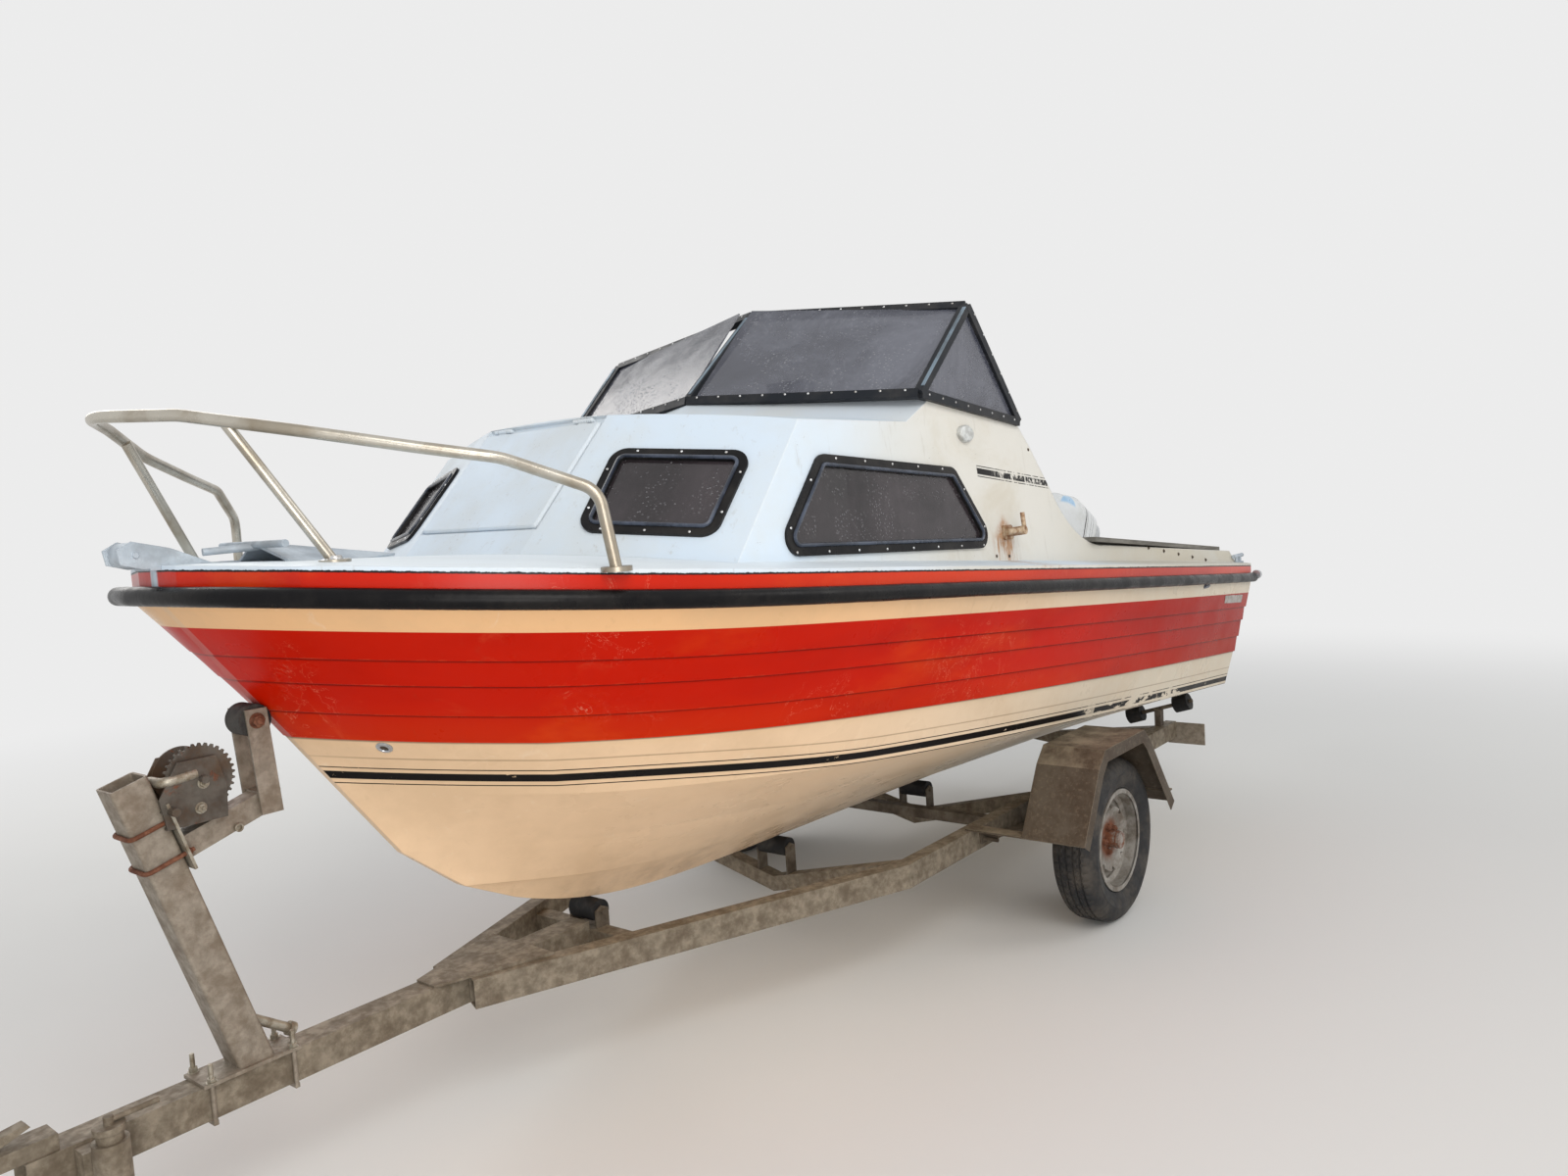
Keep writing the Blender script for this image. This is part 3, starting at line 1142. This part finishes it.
def swollen(name, size, up):
    """A sewn cover blown up over its filling by a cloth simulation, flat side held."""
    shape = bmesh.new()
    bmesh.ops.create_cube(shape, size=1)
    inner = Vector(size) - Vector((SWELL_CAP, SWELL_CAP, SWELL_CAP)) * 1.3
    bmesh.ops.scale(shape, vec=inner, verts=shape.verts)
    bmesh.ops.bevel(shape, geom=shape.edges[:], offset=0.016, segments=3, profile=0.5,
                    affect="EDGES")
    piece = object_of(name, shape)
    remesh = piece.modifiers.new("remesh", "REMESH")
    remesh.mode = "VOXEL"
    remesh.voxel_size = VOXEL
    applied(piece)
    start = [vertex.co.copy() for vertex in piece.data.vertices]
    held = piece.vertex_groups.new(name="held")
    limit = inner[up] / 2 - 0.004
    held.add([k for k, co in enumerate(start) if -co[up] > limit], 1.0, "REPLACE")
    cloth = piece.modifiers.new("cloth", "CLOTH").settings
    cloth.use_pressure = True
    cloth.uniform_pressure_force = PRESSURE
    cloth.effector_weights.gravity = 0
    cloth.vertex_group_mass = held.name
    cloth.tension_stiffness = cloth.compression_stiffness = STIFFNESS
    for number in range(1, SWELL_FRAMES + 1):
        bpy.context.scene.frame_set(number)
    applied(piece)
    bpy.context.scene.frame_set(1)
    for vertex, home in zip(piece.data.vertices, start):
        moved = vertex.co - home
        if moved.length > SWELL_CAP:
            vertex.co = home + moved.normalized() * SWELL_CAP
    return piece


def sew(piece, size, up, across, channel):
    """Presses two sewn channels into the top."""
    for vertex in piece.data.vertices:
        if vertex.co[up] > size[up] / 8:
            for place in (-channel, channel):
                pull = math.exp(-((vertex.co[across] - place) / CHANNEL_WIDTH) ** 2)
                vertex.co[up] -= CHANNEL_DEPTH * pull


def make_seat(side, name, cover, piping_look):
    """A pad and a leaning back of sewn vinyl, with the welted seam round each."""
    pad_place = Matrix.Translation(at(SEAT_X, side * SEAT_Y, SEAT_BASE + PAD_SIZE[2] / 2))
    back_place = (Matrix.Translation(at(SEAT_X - BACK_AFT, side * SEAT_Y, SEAT_BASE + BACK_UP))
                  @ Matrix.Rotation(BACK_LEAN, 4, "Y"))
    for kind, size, up, across, channel, axes in (
            ("pad", PAD_SIZE, 2, 0, PAD_CHANNEL, pad_place),
            ("back", BACK_SIZE, 0, 2, BACK_CHANNEL, back_place)):
        piece = swollen(f"seat_{kind}_{name}", size, up)
        sew(piece, size, up, across, channel)
        piece.data.transform(axes)
        piece.modifiers.new("soft", "SUBSURF").levels = 1
        applied(piece)
        dressed(piece, cover)
        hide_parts("seat_cushions")

    welt = bmesh.new()
    for size, up, height, axes in ((PAD_SIZE, 2, PAD_SIZE[2] * 0.1, pad_place),
                                   (BACK_SIZE, 0, 0.012, back_place)):
        half = [extent / 2 - WELT_INSET for extent in size]
        corners = []
        for a, b in ((-1, -1), (1, -1), (1, 1), (-1, 1)):
            flat = (a * half[0], b * half[1], height) if up == 2 else (
                height, a * half[1], b * half[2])
            corners.append(axes @ Vector(flat))
        normal = axes.to_3x3() @ Vector([1 if k == up else 0 for k in range(3)])
        add_swept(welt, rounded(corners, WELT_CORNER, True), circle_section(WELT_RADIUS),
                  normal, True)
    piece_of(f"seat_piping_{name}", welt, piping_look)


def make_details():
    steel = plain_look("screw_steel", (214, 216, 218), (140, 130, 116), 0.25, 0.9, 60)
    brass = plain_look("stud_metal", (88, 76, 64), (54, 40, 30), 0.45, 0.6, 60)
    bead = plain_look("bead_rubber", (36, 42, 54), (74, 82, 98), 0.14, 0.0, 9)
    strip = plain_look("post_strip", (120, 138, 152), (90, 98, 104), 0.35, 0.3, 14)
    chrome = plain_look("worn_chrome", (196, 200, 204), (110, 108, 104), 0.25, 0.8, 24)
    label = plain_look("label_paper", (232, 230, 226), (196, 190, 180), 0.5, 0.0, 40)
    rusty = metal("rusty_iron", (128, 84, 62), (96, 58, 40), (84, 44, 26), 0.7, 0.3, 0.8,
                  rust=0.7, scale=24)
    zinc = plain_look("bolt_zinc", (166, 160, 146), (108, 92, 70), 0.4, 0.6, 40)
    piping = plain_look("piping_vinyl", (168, 164, 152), (128, 120, 104), 0.45, 0.0, 12)
    window_details(steel, bead)
    screen_details(steel, strip)
    side_details(bead, brass, label, chrome)
    pulpit_details(steel)
    trailer_details(rusty, zinc)
    winch_details(rusty, zinc)
    tread, cover = tyre_rubber(), vinyl()
    for side, name in SIDE_NAMES:
        wheel_details(side, name, rusty)
        make_tyre(side, name, tread)
        make_seat(side, name, cover, piping)


# Floor, backdrop and light

BACKDROP = (0.84, 0.84, 0.84, 1)
SKY, SKY_STRENGTH = (0.93, 0.96, 1, 1), 0.55
FLOOR_RADIUS = 60
FLOOR_CLEAR, FLOOR_FADED = 3.0, 8.5    # the floor turns into the backdrop between these


def make_floor():
    look = Look("floor")
    x, y, _ = look.parts(look.place)
    look.color = (226, 225, 222)
    look.done(look.step(look.noise(1.5, 4, 0.5), 0.3, 0.7, 0.7, 0.8), specular_ior_level=0.2)
    glow = look.node("ShaderNodeEmission", {"Color": BACKDROP})
    far = look.step(look.distance(x, y), FLOOR_CLEAR, FLOOR_FADED)
    both = look.node("ShaderNodeMixShader",
                     {0: far, 1: look.shader.outputs[0], 2: glow.outputs[0]})
    look.feed(look.output.inputs[0], both.outputs[0])
    shape = bmesh.new()
    bmesh.ops.create_circle(shape, cap_ends=True, radius=FLOOR_RADIUS, segments=96)
    floor = object_of("floor", shape)
    floor.data.materials.append(look.material)


def make_world():
    """The backdrop where it is seen, mirrored or looked through, and a cooler light elsewhere."""
    world = bpy.data.worlds.new("studio")
    world.use_nodes = True
    bpy.context.scene.world = world
    sky = Nodes(world.node_tree)
    seen = sky.node("ShaderNodeBackground", {"Color": BACKDROP})
    lit = sky.node("ShaderNodeBackground", {"Color": SKY, "Strength": SKY_STRENGTH})
    rays = sky.node("ShaderNodeLightPath").outputs
    total = rays["Is Camera Ray"]
    for name in ("Is Glossy Ray", "Is Transmission Ray"):
        total = sky.math("MAXIMUM", total, rays[name])
    both = sky.node("ShaderNodeMixShader", {0: total, 1: lit.outputs[0], 2: seen.outputs[0]})
    sky.node("ShaderNodeOutputWorld", {0: both.outputs[0]})


LAMP_COLOR = (1.0, 0.975, 0.94)
LAMPS = [  # place, what it points at, size, watts
    ((4.5, 5.5, 5.5), (0.6, 0.2, 1.0), 4.0, 235),
    ((5.4, 4.9, 1.4), (1.6, 0.5, 0.8), 2.6, 105),
    ((-4.0, 6.0, 5.0), (-0.4, 0.2, 0.9), 3.5, 85),
    ((0.5, -6.5, 5.0), (0.4, 0.0, 1.0), 4.0, 130),
]


def make_lamps():
    for number, (place, target, size, watts) in enumerate(LAMPS):
        data = bpy.data.lights.new(f"lamp_{number}", "AREA")
        data.size = size
        data.energy = watts
        data.color = LAMP_COLOR
        lamp = bpy.data.objects.new(f"lamp_{number}", data)
        lamp.location = at(*place)
        away = lamp.location - at(*target)
        lamp.rotation_euler = away.to_track_quat("Z", "Y").to_euler()
        bpy.context.collection.objects.link(lamp)


make_camera()
make_world()
make_lamps()
make_floor()
dress_nodes()
make_details()
bpy.context.scene.view_settings.view_transform = "Standard"
